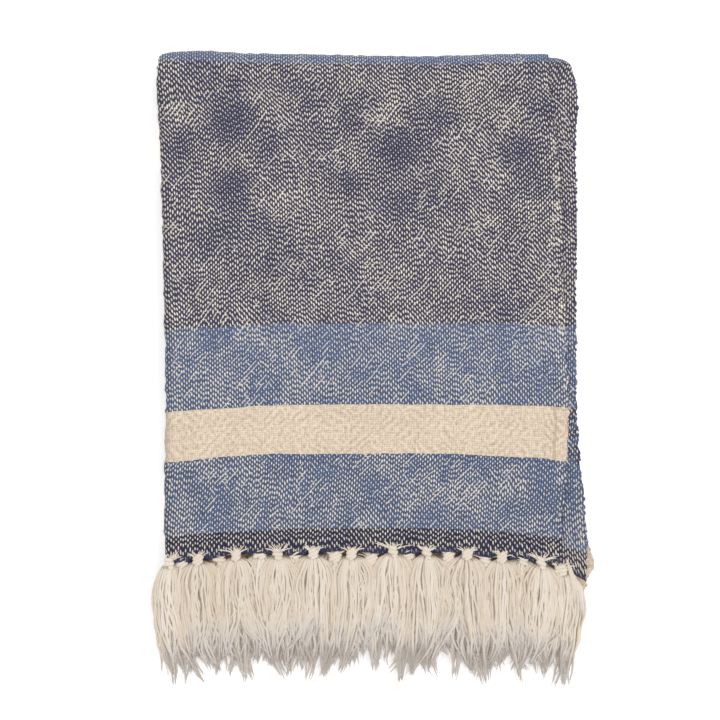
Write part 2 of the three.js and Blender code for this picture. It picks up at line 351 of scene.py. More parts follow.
# how far the crest of the top fold stands out of its line, from the left corner on
crestRows = [
    {"x": -176, "rise": -3.5},
    {"x": -160, "rise": 0.3},
    {"x": -140, "rise": 2.4},
    {"x": -105, "rise": 1.7},
    {"x": -57, "rise": 1.5},
    {"x": 0, "rise": 0.5},
    {"x": 40, "rise": 0},
    {"x": 90, "rise": 0.7},
    {"x": 125, "rise": 0},
    {"x": 141, "rise": -0.8},
    {"x": 151, "rise": -2.4},
    {"x": 160, "rise": -3.2},
]

# patches of the upper ply: x, y, size and depth
# darker where the warp floats are short, lighter (below zero) where they are long
patches = [
    (-115, 200, 17, 0.9), (-85, 180, 9, 0.6), (-113, 150, 15, 0.8), (20, 176, 17, 0.95),
    (-17, 200, 13, 0.6), (-17, 150, 13, 0.6), (-153, 178, 12, 0.6), (56, 205, 12, 0.5),
    (117, 178, 15, 0.6), (140, 205, 13, 0.5), (-111, 233, 12, 0.4), (25, 135, 13, 0.5),
    (-122, 112, 14, 0.6), (-82, 88, 11, 0.4), (133, 155, 12, 0.4), (-80, 200, 10, -0.3),
    (12, 205, 14, -0.25), (-19, 173, 13, -0.25), (82, 181, 17, -0.35), (111, 203, 12, -0.3),
    (106, 152, 14, -0.25), (-151, 205, 12, -0.25), (-63, 144, 15, -0.2), (95, 117, 17, -0.25),
]


def hemPull(x, ply, fromFront, fromBack):
    # the hem hangs lower between the knots of the two plies that show; the hidden plies end a little higher
    near = 1 - softStep(fromFront, 0, clothSet["scallopReach"])
    tassels = next(row for row in fringeRows if row["end"] == "front" and row["ply"] == int(ply))
    places = tasselPlaces(tassels)
    if int(ply) in (0, 3):
        gap = np.abs(np.asarray(x)[:, None] - places).min(1) / (tassels["pitch"] / 2)
        uneven = 0.65 + 0.35 * np.sin(np.asarray(x) / 13)
        pull = (clothSet["hemLow"] + softStep(gap, 0.1, 0.55) * clothSet["scallop"] * uneven) * near
    else:
        pull = -clothSet["underHem"] * near
    return pull - clothSet["underHem"] * (1 - softStep(fromBack, 0, clothSet["backHemReach"]))


def crestRise(x, turn, fuzz=0):
    # only round the top fold, most at its outermost line
    share = np.where((turn < 0) & (turn > -math.pi), np.sin(turn) ** 2, 0)
    return share * (smoothTable(crestRows, "x", "rise", x) + fuzz)


def clothLift(x, y, ply, station, edges):
    # ripples of the upper ply and the curl of its selvedge, in millimetres
    along, turn = station
    upper = (turn == 0) & (ply < 0.5)
    waveX, bendX = clothSet["rippleX"]
    waveY, bendY = clothSet["rippleY"]
    ripple = np.sin(x / waveX + 1.1 * np.sin(y / bendY)) * np.cos(y / waveY + 0.8 * np.sin(x / bendX))
    reach = np.clip((edges["front"] - x) / clothSet["curlReach"], 0, 1)
    curl = (1 - reach) ** 2 * (0.55 + 0.45 * np.sin(y / 19 + 0.7))
    until, fadeLength = clothSet["liftUntil"]
    fade = softStep(along, *clothSet["liftFrom"]) * softStep(until - along, 0, fadeLength)
    return np.where(upper, (ripple * clothSet["rippleHeight"] + curl * clothSet["curlHeight"]) * fade, 0)


def makeCloth():
    along, baseY, baseZ, turn = foldStations()
    columns = sectionColumns(along)
    edges = edgesAt(along)
    rows, count = len(along), len(columns)
    half = stack["thickness"] / 2
    wobble = draw.normal(0, 1, (3, rows)) * softStep(along, 2, 25) * clothSet["edgeWobble"]
    face, back, uvs = [], [], []
    marks = {"patchesAndRimShade": [], "plain": [], "carried": [], "foldShade": []}
    fuzz = np.random.default_rng(7).normal(0, clothSet["crestFuzz"], count)
    rim = softStep(along, *clothSet["rimFrom"]) * (1 - softStep(along, *clothSet["rimUntil"]))
    plain = 1 - softStep(np.minimum(along, along[-1] - along), 0, clothSet["plainHem"])
    flatU = np.zeros(rows)
    lastX = lastLevel = None
    for index, (x, level, faceX, faceLevel, drop, ply) in enumerate(columns):
        height = (level - midLevel) * stack["plyPitch"]
        if lastX is not None:
            flatU = flatU + np.hypot(x - lastX, (level - lastLevel) * stack["plyPitch"])
        lastX, lastLevel = x, level
        uvs.append(np.stack([flatU, along - height * turn], -1))
        upper = (turn == 0) & (ply < 0.5)
        patchesAndRimShade = 0
        for spotX, spotY, size, depth in patches:
            patchesAndRimShade = patchesAndRimShade + depth * np.exp(-((x - spotX) ** 2 + (baseY - spotY) ** 2) / size ** 2)
        patchesAndRimShade = np.clip(patchesAndRimShade, *clothSet["patchRange"])
        carried = 1 - softStep(edges["second"] - x, *clothSet["carriedStrip"])
        # painted shade along the rounded left fold, on the upper ply and its turn round the fold
        foldShade = 1 - softStep(x - edges["left"], *clothSet["foldShadeStrip"])
        # painted shade on the rim of the top fold, carried by the same mark as the patches
        marks["patchesAndRimShade"].append(np.where(upper, patchesAndRimShade, clothSet["rimPaintedShade"] * rim))
        marks["plain"].append(plain)
        marks["carried"].append(carried if ply == 3 else np.zeros(rows))
        marks["foldShade"].append(np.where((turn == 0) & (ply < 1), foldShade, 0))
        if index == 0:
            x = x + wobble[0]
        if index == count - 1:
            x = x + wobble[1]
        if ply == 0.5:
            x = x + wobble[2] * faceX * 0.5
        lift = clothLift(x, baseY, ply, (along, turn), edges)
        pull = hemPull(x, ply, along, along[-1] - along) - crestRise(x, turn, fuzz[index])
        for side, layer in ((half, face), (-half, back)):
            reach = height + faceLevel * side
            y = baseY - np.sin(turn) * reach - drop * hemShare(along) - pull
            z = baseZ + np.cos(turn) * reach + lift
            layer.append(settle(x + faceX * side, y, z))
    verts = np.concatenate([np.stack(face, 1).reshape(-1, 3), np.stack(back, 1).reshape(-1, 3)])
    uvAt = np.stack(uvs, 1).reshape(-1, 2)
    uvAt = np.concatenate([uvAt, uvAt]) * mm
    marks = {key: np.tile(np.stack(values, 1).ravel(), 2) for key, values in marks.items()}

    top = np.arange(rows * count).reshape(rows, count)
    under = top + rows * count

    def quads(*corners):
        return np.stack([corner.ravel() for corner in corners], -1)

    faces = np.concatenate([
        quads(top[:-1, :-1], top[1:, :-1], top[1:, 1:], top[:-1, 1:]),
        quads(under[:-1, :-1], under[:-1, 1:], under[1:, 1:], under[1:, :-1]),
        quads(top[:-1, 0], under[:-1, 0], under[1:, 0], top[1:, 0]),
        quads(top[:-1, -1], top[1:, -1], under[1:, -1], under[:-1, -1]),
        quads(top[0, :-1], top[0, 1:], under[0, 1:], under[0, :-1]),
        quads(top[-1, :-1], under[-1, :-1], under[-1, 1:], top[-1, 1:]),
    ])
    return verts, faces, uvAt[faces.ravel()], marks


clothVerts, clothFaces, clothUvs, clothMarks = makeCloth()
clothLow, clothHigh = (np.array(corner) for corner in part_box("throw_cloth"))
ownLow, ownHigh = clothVerts.min(0) * mm, clothVerts.max(0) * mm
shift = (clothLow + clothHigh - ownLow - ownHigh) / 2
shift[2] = 0


def toFrame(points):
    # millimetres of the stack to metres of the frame
    return np.asarray(points) * mm + shift


cloth = newMesh("throwCloth", toFrame(clothVerts), clothFaces, clothUvs, clothMarks)
mergeAndSmooth(cloth)
cameraZ = cameraSet["topZ"] + cameraSet["distance"]
camera.location = toFrame([cameraSet["centreX"], cameraSet["centreY"], cameraZ])
print("cloth folded:", len(clothFaces), "quads")


def pinch(radii):
    # strands run out to a point at both ends
    radii[:, [0, -1]] = 0
    return radii


def tubes(paths, radii, sides, lead):
    # closed round strands along many paths at once; lead is a direction they never run along
    paths, radii = np.asarray(paths, float), np.asarray(radii, float)
    count, steps = radii.shape
    tangent = np.gradient(paths, axis=1)
    tangent /= np.linalg.norm(tangent, axis=2, keepdims=True) + 1e-9
    side = np.cross(tangent, np.asarray(lead, float))
    side /= np.linalg.norm(side, axis=2, keepdims=True) + 1e-9
    up = np.cross(side, tangent)
    angles = np.arange(sides) / sides * math.tau
    spoke = np.cos(angles)[:, None] * side[:, :, None, :] + np.sin(angles)[:, None] * up[:, :, None, :]
    verts = paths[:, :, None, :] + radii[:, :, None, None] * spoke
    length = np.cumsum(np.linalg.norm(np.diff(paths, axis=1, prepend=paths[:, :1]), axis=2), axis=1)
    index = np.arange(count * steps * sides).reshape(count, steps, sides)
    following = np.roll(index, -1, axis=2)
    corners = [index[:, :-1], following[:, :-1], following[:, 1:], index[:, 1:]]
    faces = np.stack([corner.ravel() for corner in corners], -1)
    around = np.arange(sides)[None, None, :] / sides + np.zeros((count, steps - 1, 1))
    here = length[:, :-1, None] * mm + np.zeros((1, 1, sides))
    there = length[:, 1:, None] * mm + np.zeros((1, 1, sides))
    step = 1 / sides
    uvs = np.stack([
        np.stack([around, here], -1), np.stack([around + step, here], -1),
        np.stack([around + step, there], -1), np.stack([around, there], -1),
    ], 3)
    return verts.reshape(-1, 3), faces, uvs.reshape(-1, 2)


def joinTubes(name, batches):
    # one mesh from several lots of strands, each with its own shade and its run from root to end, which
    # masks the painted shade at the tips
    verts, faces, uvs, shades, tips = [], [], [], [], []
    start = 0
    for paths, radii, sides, lead, shade, (tipFrom, tipTo) in batches:
        lotVerts, lotFaces, lotUvs = tubes(paths, radii, sides, lead)
        verts.append(lotVerts)
        faces.append(lotFaces + start)
        uvs.append(lotUvs)
        shades.append(np.repeat(shade, len(lotVerts) // len(shade)))
        run = np.linspace(tipFrom, tipTo, radii.shape[1])
        tips.append(np.tile(np.repeat(run, sides), len(shade)))
        start += len(lotVerts)
    points = toFrame(np.concatenate(verts))
    marks = {"shade": np.concatenate(shades), "tipShade": np.concatenate(tips)}
    piece = newMesh(name, points, np.concatenate(faces), np.concatenate(uvs), marks)
    mergeAndSmooth(piece)
    print(name, "made:", sum(len(lot) for lot in faces), "quads")
    return piece


# Selvedge loops: the weft's turns that stand out of the two long sides
loopSet = {
    "spacing": 5,
    "reach": 0.35,
    "length": (2.5, 5),
    "radius": (0.8, 1.1),
    "wander": 4,
    "anchor": 2,
    "longest": 1.6,
    "share": {"front": 0.75, "second": 1},
    "points": 8,
}


def makeLoops():
    along, baseY, baseZ, turn = foldStations()
    places = np.arange(6, along[-1] - 6, loopSet["spacing"])
    batches = []
    for edge, level in (("front", 3), ("second", 2)):
        count = len(places)
        at = places + draw.uniform(-loopSet["wander"], loopSet["wander"], count)
        height = (level - midLevel) * stack["plyPitch"]
        angle = np.interp(at, along, turn)
        drop = hemDrop(plies[3], 1) * hemShare(at) if edge == "second" else 0
        y = np.interp(at, along, baseY) - np.sin(angle) * height - drop
        z = np.interp(at, along, baseZ) + np.cos(angle) * height
        x = np.minimum(edgesAt(at - 2.5)[edge], edgesAt(at + 2.5)[edge])
        y = y + crestRise(x, angle)
        t = np.linspace(0, 1, loopSet["points"])[None, :]
        reach = draw.exponential(loopSet["reach"], (count, 1)).clip(0, loopSet["longest"])
        length, radius = (draw.uniform(*loopSet[key], (count, 1)) for key in ("length", "radius"))
        lift = draw.normal(0, 0.15, (count, 1))
        pathX = x[:, None] - loopSet["anchor"] + (reach + loopSet["anchor"]) * np.sin(t * math.pi)
        pathY = y[:, None] + (t - 0.5) * length * np.cos(angle)[:, None]
        pathZ = z[:, None] + (t - 0.5) * length * np.sin(angle)[:, None] + lift
        pathZ = np.maximum(pathZ, loopSet["radius"][1])
        radii = pinch(radius * loopSet["share"][edge] * np.ones((1, loopSet["points"])))
        batches.append((settle(pathX, pathY, pathZ), radii, at - height * angle))
    verts, faces, uvs, start = [], [], [], 0
    for paths, radii, flatV in batches:
        lotVerts, lotFaces, lotUvs = tubes(paths, radii, 4, (0.2, 0.3, 1))
        verts.append(lotVerts)
        faces.append(lotFaces + start)
        flat = np.repeat(flatV, len(lotUvs) // len(flatV)) * mm
        uvs.append(np.stack([lotUvs[:, 1] + 0.002, flat], -1))
        start += len(lotVerts)
    half = start // 2
    carried = np.repeat([0.0, 1.0], [half, start - half])
    none = np.zeros(start)
    marks = {"patchesAndRimShade": none, "plain": 0.3 + 0.7 * carried, "carried": carried, "foldShade": none}
    points = toFrame(np.concatenate(verts))
    piece = newMesh("selvedgeLoops", points, np.concatenate(faces), np.concatenate(uvs), marks)
    mergeAndSmooth(piece)
    print("selvedge loops:", 2 * len(places))
    return piece


loops = makeLoops()


# Fringe: knots on the hem and loose yarns that fall over the bottom fold to the floor
fringeSet = {
    "strip": {7: 1.5, 6: 1.3, "under": 2.5},
    "placeSpread": 0.5,
    "rootSpread": {7: 0.5, "under": 1.4},
    "knotLength": 9,
    "knotWidth": {7: 10, 6: 13, "under": 10},
    "knotHeight": 5.4,
    "knotTurns": 2.4,
    "knotTilt": (0.7, 1.7),
    "knotPoints": 31,
    "wrapRadius": 1.75,
    "yarnRadius": {7: 1.02, 6: 1.06, "under": 1.38},
    "yarnThick": (0.8, 1.15),
    "yarnPoints": 17,
    "bell": 1.0,
    "puff": {7: 4.2, 6: 3.4, "under": 0.2},
    "lift": {7: 1.6, 6: 0.8, "under": 0},
    "tuck": (10, 13),
    "tuckFrom": (110, 165),
    "stray": 3.2,
    "hook": 7,
    "crossShare": 0.03,
    "crossReach": 9,
    "fallStart": -203,
    "fallEnd": -237,
    "tipRowPitch": 1.6,
    "shortTip": -213,
    "midTip": -227,
    "longTip": -258,
    "tipSpread": 5,
    "frayPoints": 6,
    "frayRadius": 0.26,
    "fanEnds": 13,
    "fanReach": 12,
    "fanRadius": 0.62,
    "fanLimit": -164.5,
}
fringeEnds = {
    "front": {"hemY": stack["frontHemY"], "level": 3, "along": 0, "flip": 1},
    "back": {"hemY": stack["backHemY"], "level": 2, "along": edgeRows[-1]["along"], "flip": -1},
}


def ofRow(key, row):
    # a setting of one row of tassels; the rows without their own share the one called under
    return fringeSet[key].get(row["row"], fringeSet[key]["under"])


def knotRoot(row, x):
    end, ply = fringeEnds[row["end"]], plies[row["ply"]]
    edges = edgesAt(end["along"])
    share = (x - edges[ply["start"]]) / (edges[ply["end"]] - edges[ply["start"]])
    y = end["hemY"] - ofRow("strip", row) - hemDrop(ply, share) * hemShare(end["along"])
    z = passHeight(end["level"]) + (ply["level"] - midLevel) * stack["plyPitch"] * end["flip"]
    return x, y, z


def sway(count, height, low, high, t):
    # one slow wave for each of count strands
    size = draw.normal(0, height, (count, 1))
    pace = draw.uniform(low, high, (count, 1)) * math.tau
    return size * np.sin(t * pace + draw.uniform(0, math.tau, (count, 1)))


def yarnPaths(row, root):
    # the yarns of one tassel, lock by lock, from its knot over the bottom fold to the floor
    x, y, z = root
    locks, each, points = row["locks"], row["yarns"], fringeSet["yarnPoints"]
    count = locks * each
    lock = np.repeat(np.arange(locks), each)
    spread = row["pitch"] * fringeSet["bell"]
    t = np.linspace(0, 1, points)[None, :]
    centre = ((np.arange(locks) + 0.5) / locks - 0.5 + draw.normal(0, 0.03, locks))[lock, None] * spread
    aside = draw.uniform(-0.95, 0.95, (count, 1)) * spread / locks
    layer = draw.uniform(0, 1, (count, 1))
    stray = draw.normal(0, fringeSet["stray"], locks)[lock][:, None]
    hook = draw.normal(0, fringeSet["hook"], locks)[lock][:, None]
    crosses = draw.uniform(0, 1, (count, 1)) < fringeSet["crossShare"]
    crossing = crosses * draw.normal(0, fringeSet["crossReach"], (count, 1))
    tuck = -np.sign(x) * softStep(abs(x), *fringeSet["tuckFrom"]) * fringeSet["tuck"][int(x > 0)]
    tips = draw.triangular(fringeSet["longTip"], fringeSet["midTip"], fringeSet["shortTip"], locks)[lock]
    tipY = (tips + draw.exponential(fringeSet["tipSpread"], count))[:, None]
    startY = y - fringeSet["knotLength"] * 0.4

    # seen from above: narrow at the knot, then a bell, with the locks gathered again at the tips
    bell = (1 - (1 - np.clip(t / 0.27, 0, 1)) ** 2) ** 0.8
    gather = 1 - 0.75 * softStep(t, 0.6, 1)
    narrow = (centre + aside) / spread * ofRow("knotWidth", row) * 0.75
    wave = sway(locks, 1.4, 0.5, 1.3, t)[lock] * softStep(t, 0, 0.5)
    wave = wave + sway(count, 0.85, 1.5, 4, t) * softStep(t, 0, 0.2)
    bow = row["lean"] * np.sin(math.pi * t ** 0.75)
    drift = (stray + crossing) * t ** 1.6 + hook * t ** 5 + tuck * t ** 2 + bow
    pathX = x + narrow * (1 - bell) + (centre + aside * gather) * bell + drift + wave
    pathY = startY + (tipY - startY) * t

    # seen from the side: puffed up behind the knot, then down to the floor
    fallShift = draw.normal(0, 3, (count, 1))
    fall = softStep(-pathY, fallShift - fringeSet["fallStart"], fallShift - fringeSet["fallEnd"])
    dome = 1 - 0.8 * (2 * (centre + aside) / spread) ** 2
    puff = ofRow("puff", row) * np.sin(np.clip(t / 0.6, 0, 1) * math.pi) * dome
    puff = puff * (0.35 + 0.65 * layer)
    rootZ = z + (layer - 0.4) * 1.8
    tipZ = row["row"] * fringeSet["tipRowPitch"] + 0.95 + layer * 2.2
    pathZ = rootZ + puff + np.abs(crossing) * 0.12 * t + (tipZ - rootZ - puff) * fall
    radii = ofRow("yarnRadius", row) * draw.uniform(*fringeSet["yarnThick"], (count, 1))
    radii = pinch(radii * (1 - 0.6 * softStep(t, 0.75, 1)))
    return settle(pathX, pathY, np.maximum(pathZ, radii + 0.05)), radii


def loosePaths():
    # warp ends of the skewed corner that hang without a knot
    count, points = looseEnds["count"], fringeSet["yarnPoints"]
    t = np.linspace(0, 1, points)[None, :]
    share = np.linspace(0, 1, count)[:, None] + draw.normal(0, 0.04, (count, 1))
    rootX, rootY = (a + (b - a) * share for a, b in zip(looseEnds["first"], looseEnds["last"]))
    tipY = draw.triangular(*looseEnds["tips"], (count, 1))
    run = looseEnds["run"] * (1.6 - share) * (1 - (1 - t) ** 2)
    pathX = rootX + run + sway(count, 0.6, 0.6, 1.4, t) * softStep(t, 0, 0.3)
    pathY = rootY + (tipY - rootY) * t
    rest = passHeight(3) + 0.5 * stack["plyPitch"] + 1 + draw.uniform(0, 1.2, (count, 1))
    pathZ = rest - looseEnds["fall"] * softStep(t, 0.6, 1.1)
    radii = fringeSet["yarnRadius"][6] * draw.uniform(*fringeSet["yarnThick"], (count, 1))
    return settle(pathX, pathY, pathZ), pinch(radii * (1 - 0.7 * softStep(t, 0.7, 1)))


def frayPaths(yarns):
    # thin fibres that part from the ends of the yarns
    count, points = len(yarns), fringeSet["frayPoints"]
    t = np.linspace(0, 1, points)
    start, stop = yarns[:, -points], yarns[:, -1]
    reach = (stop - start) * draw.uniform(0.7, 1.25, (count, 1))
    strays = (draw.normal(0, 2.6, count), draw.normal(0, 1.5, count), draw.uniform(-0.4, 1, count))
    stray = np.stack(strays, -1)
    paths = start[:, None] + reach[:, None] * t[None, :, None] + stray[:, None] * t[None, :, None] ** 2
    paths[:, :, 2] = np.maximum(paths[:, :, 2], 0.3)
    return paths, pinch(np.full((count, points), fringeSet["frayRadius"]) * (1 - 0.6 * t))


def knotPath(root, lift, width):
    # the yarn's turns round the head of a tassel
    x, y, z = root
    turnsRound = fringeSet["knotTurns"]
    thick = fringeSet["wrapRadius"]
    t = np.linspace(0, 1, fringeSet["knotPoints"])
    angle = t * turnsRound * math.tau + draw.uniform(-0.5, 0.5)
    body = np.sqrt(np.clip(1 - ((t - 0.5) * 1.5) ** 2, 0, 1))
    pathX = x + (width / 2 - thick) * body * np.cos(angle) * draw.uniform(0.8, 1.05)
    pathZ = z + lift + (fringeSet["knotHeight"] / 2 - thick) * body * np.sin(angle)
    tilt = draw.choice([-1, 1]) * draw.uniform(*fringeSet["knotTilt"])
    pathY = y + 1 - t * fringeSet["knotLength"] * 0.8 + tilt * np.cos(angle)
    return settle(pathX, pathY, pathZ)[None], pinch(np.full((1, len(t)), thick))


def fanPaths(root, lift):
    # warp ends drawn together from the hem into the knot, the outer ones long and close to the hem
    x, y, z = root
    count = fringeSet["fanEnds"]
    opening, longest = draw.uniform(1.15, 1.5), fringeSet["fanReach"] * draw.uniform(0.7, 1.2)
    lane = np.linspace(-1, 1, count)[:, None] + draw.normal(0, 0.16, (count, 1))
    t = np.linspace(0, 1, 7)[None, :]
    length = longest * (0.35 + 0.65 * np.abs(lane)) * draw.uniform(0.45, 1.15, (count, 1))
    startX = lane * 2.5 + length * np.sin(lane * opening)
    startY = y + 1 + length * np.cos(lane * opening) * 0.75
    wave = sway(count, 0.7, 0.5, 1.2, t)
    pathX = x + startX * (1 - t) ** 2 + lane * 5 * 2 * t * (1 - t) + lane * 2.5 * t ** 2 + wave
    pathX = np.maximum(pathX, fringeSet["fanLimit"])
    pathY = startY * (1 - t) ** 2 + (y + 1.8) * 2 * t * (1 - t) + (y - 1) * t ** 2
    pathZ = z + stack["thickness"] * 0.5 + 0.35 + lift * 0.9 * t ** 2
    radii = fringeSet["fanRadius"] * draw.uniform(0.75, 1.2, (count, 1)) * (0.65 + 0.35 * t)
    return settle(pathX, pathY, pathZ), pinch(radii)


def makeFringe(endName):
    upAxis, alongAxis = (0, 0, 1), (0, 1, 0)
    lots = {"Yarns": [], "UnderYarns": [], "Frays": [], "Knots": []}
    for row in (entry for entry in fringeRows if entry["end"] == endName):
        showing = row["row"] > 5
        kind = "UnderYarns" if row["row"] in (4, 5, 6) else "Yarns"
        lift = ofRow("lift", row)
        for place in tasselPlaces(row):
            x, y, z = knotRoot(row, place + draw.normal(0, fringeSet["placeSpread"]))
            root = x, y + draw.normal(0, ofRow("rootSpread", row)), z
            paths, radii = yarnPaths(row, root)
            tone = draw.uniform(0.35, 0.75)
            # random tone for each tassel and yarn, with painted shade towards the tassel's sides
            side = np.abs(paths[:, fringeSet["yarnPoints"] // 2, 0] - x) / row["pitch"] * 2
            shade = np.clip(draw.normal(tone, 0.2, len(paths)) + 0.15 - 0.45 * side ** 2, 0, 1)
            lots[kind].append((paths, radii, 4, upAxis, shade, (0, 1)))
            fray, frayRadii = frayPaths(paths)
            # the frays take a lower shade and lie mostly in the painted shade of the tips
            lots["Frays"].append((fray, frayRadii, 3, upAxis, np.full(len(fray), 0.45), (0.8, 1)))
            wrap, wrapRadii = knotPath(root, lift, ofRow("knotWidth", row))
            lots["Knots"].append((wrap, wrapRadii, 6, alongAxis, np.array([tone]), (0, 0)))
            if showing:
                fan, fanRadii = fanPaths(root, lift)
                lots["Knots"].append((fan, fanRadii, 4, upAxis, np.full(len(fan), 0.6), (0, 0)))
    if endName == "front":
        loose, looseRadii = loosePaths()
        lots["Yarns"].append((loose, looseRadii, 4, upAxis, draw.uniform(0.3, 0.9, len(loose)), (0.3, 1)))
    return [joinTubes(endName + kind, batches) for kind, batches in lots.items() if batches]


frontFringe = makeFringe("front")
backFringe = makeFringe("back")


class Wire:
    # a socket of a shader tree that works in sums
    def __init__(self, tree, socket=None):
        self.tree = tree
        self.socket = socket

    def add(self, kind, settings=None, inputs=None, output=0):
        node = self.tree.nodes.new(kind)
        for name, value in (settings or {}).items():
            setattr(node, name, value)
        for name, value in (inputs or {}).items():
            if isinstance(value, Wire):
                self.tree.links.new(value.socket, node.inputs[name])
            else:
                node.inputs[name].default_value = value
        return Wire(self.tree, node.outputs[output])

    def math(self, operation, *values):
        return self.add("ShaderNodeMath", {"operation": operation}, dict(enumerate(values)))

    def __add__(self, other):
        return self.math("ADD", self, other)

    def __sub__(self, other):
        return self.math("SUBTRACT", self, other)

    def __rsub__(self, other):
        return self.math("SUBTRACT", other, self)

    def __mul__(self, other):
        return self.math("MULTIPLY", self, other)

    def __truediv__(self, other):
        return self.math("DIVIDE", self, other)

    def __pow__(self, other):
        return self.math("POWER", self, other)

    __radd__ = __add__
    __rmul__ = __mul__

    def floor(self):
        return self.math("FLOOR", self)

    def size(self):
        return self.math("ABSOLUTE", self)

    def above(self, limit):
        return self.math("GREATER_THAN", self, limit)

    def soft(self, low, high, fromValue=0.0, toValue=1.0):
        return self.add("ShaderNodeMapRange", {"interpolation_type": "SMOOTHSTEP"},
                        {0: self, 1: low, 2: high, 3: fromValue, 4: toValue})

    def mix(self, first, second):
        return self.add("ShaderNodeMix", {"data_type": "RGBA"}, {0: self, 6: first, 7: second}, 2)

    def noise(self, scale, detail=2.0, x=1.0, y=1.0):
        # self is a vector; x and y stretch the noise
        stretched = self.add("ShaderNodeVectorMath", {"operation": "MULTIPLY"}, {0: self, 1: (x, y, 1)})
        return self.add("ShaderNodeTexNoise", {"noise_dimensions": "2D"},
                        {"Vector": stretched, "Scale": scale, "Detail": detail})

    def pair(self, first, second):
        return self.add("ShaderNodeCombineXYZ", None, {0: first, 1: second})

    def chance(self, other):
        # one random number for each pair of whole numbers
        cell = self.pair(self, other)
        return self.add("ShaderNodeTexWhiteNoise", {"noise_dimensions": "2D"}, {"Vector": cell})

    def scaled(self, share):
        # self is a colour
        return self.add("ShaderNodeVectorMath", {"operation": "SCALE"}, {0: self, "Scale": share})

    def part(self, axis):
        # self is a vector
        return self.add("ShaderNodeSeparateXYZ", None, {"Vector": self}, axis)

    def mark(self, name):
        return self.add("ShaderNodeAttribute", {"attribute_name": name}, None, "Fac")


def linear(*screen):
    # screen colour, 0 to 255, to the renderer's own
    shares = [c / 255 for c in screen]
    return (*(c / 12.92 if c <= 0.04 else ((c + 0.055) / 1.055) ** 2.4 for c in shares), 1)


def startMaterial(name):
    material = bpy.data.materials.new(name)
    material.use_nodes = True
    return material, material.node_tree.nodes["Principled BSDF"]


def dress(shader, colour, height, settings):
    # what the cotton finishes share: colour, bump and a dull gloss with a little sheen
    relief = {"Height": height, "Strength": settings["bump"], "Distance": settings["bumpDepth"] * mm}
    bump = colour.add("ShaderNodeBump", None, relief)
    colour.tree.links.new(colour.socket, shader.inputs["Base Color"])
    colour.tree.links.new(bump.socket, shader.inputs["Normal"])
    shader.inputs["Roughness"].default_value = settings["roughness"]
    shader.inputs["Specular IOR Level"].default_value = settings["specular"]
    shader.inputs["Sheen Weight"].default_value = settings["sheen"]


# Weave: cream warp floats over navy, blue and cream weft
weaveSet = {
    "warpPitch": 1.93,
    "floatRepeat": 4.2,
    "navy": linear(76, 78, 110),
    "hemNavy": linear(70, 73, 110),
    "blue": linear(99, 117, 155),
    "floatShadowTone": linear(56, 51, 55),
    "creamWeft": linear(236, 220, 200),
    "creamTanAndShade": linear(174, 148, 118),
    "creamWarp": linear(236, 226, 210),
    "stripes": [
        (16, "navy"), (60, "blue"), (40, "cream"), (64, "blue"), (209, "navy"), (62, "blue"),
        (39, "cream"), (65, "blue"), (131, "navy"), (54, "blue"), (42, "cream"), (63, "blue"),
    ],
    "hemEdge": (17.0, 15.0),
    "hemShade": (180.0, 90.0),
    "secondSide": 1000.0,
    "cornerU": 1275.0,
    "cornerV": (50.0, 25.0),
    "bareU": (16.0, 3.0),
    "bareV": (350.0, 320.0),
    "floatLength": 0.14,
    "floatWidth": 0.24,
    "gridPitch": (1.9, 1.78),
    "ridgePitch": 8.0,
    "creases": [(10.5, 0.5), (35, 0.2)],
    "foldShadeDepth": 0.3,
    "noise": {
        "bend": 24.0, "drift": 75.0, "border": 14.0, "carried": 120.0, "lean": 26.0, "crowd": 34.0,
        "bare": 190.0, "cluster": 30.0, "streak": 700.0, "tint": 420.0, "crease": 70.0, "grain": 430.0,
        "turned": 45.0, "ridge": 60.0,
    },
    "roughness": 0.92,
    "specular": 0.2,
    "sheen": 0.1,
    "bump": 0.6,
    "bumpDepth": 0.6,
}


def stripeMasks(place):
    # one mask for the blue weft and one for the cream, mirrored at the middle of the cloth
    whole = 2 * sum(width for width, name in weaveSet["stripes"])
    fromEnd = place.math("MINIMUM", place, whole - place)
    masks = {"blue": None, "cream": None}
    edge = 0
    for width, name in weaveSet["stripes"]:
        if name in masks:
            band = fromEnd.above(edge) - fromEnd.above(edge + width)
            masks[name] = band if masks[name] is None else masks[name] + band
        edge += width
    return masks["blue"], masks["cream"]


